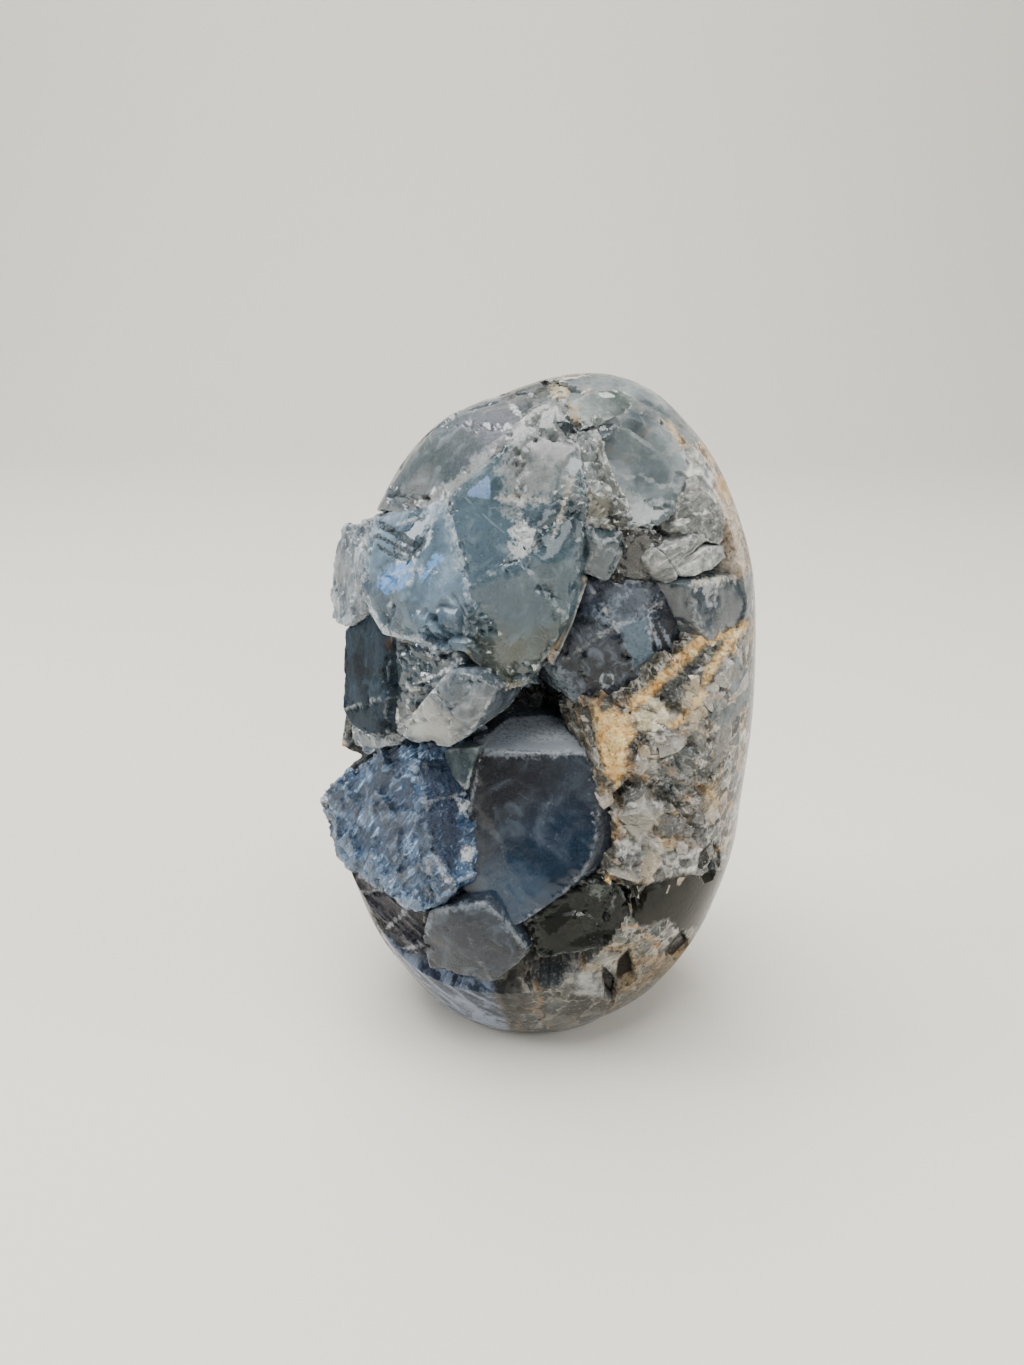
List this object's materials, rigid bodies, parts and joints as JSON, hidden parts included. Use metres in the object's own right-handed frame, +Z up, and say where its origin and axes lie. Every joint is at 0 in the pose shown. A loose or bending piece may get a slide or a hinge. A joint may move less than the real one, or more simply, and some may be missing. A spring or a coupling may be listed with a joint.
{
  "type": "polished celestite crystal cluster egg",
  "caption": "Free-standing egg of pale blue celestite: polished granular rock round the back and sides, blocky translucent crystals round a dark hollow on the front, on a flat ground foot.",
  "frame": {"origin": "middle of the flat ground foot that the stone stands on", "axes": "+Z up through the tip of the egg; the open crystal face looks along -Y; +X is to the right as seen from the front"},
  "size_m": [0.0729, 0.0536, 0.115],
  "materials": {
    "celestite": "ground and polished translucent blue-grey crystal, glassy where whole, frosted and white along breaks",
    "clear_crystal": "clear to cloudy grey-blue crystal with sharp glassy faces",
    "clay": "dry matt orange clay packed into seams and hollows"
  },
  "bodies": {
    "root": {"celestite_cluster": "celestite"}
  },
  "joints": []
}
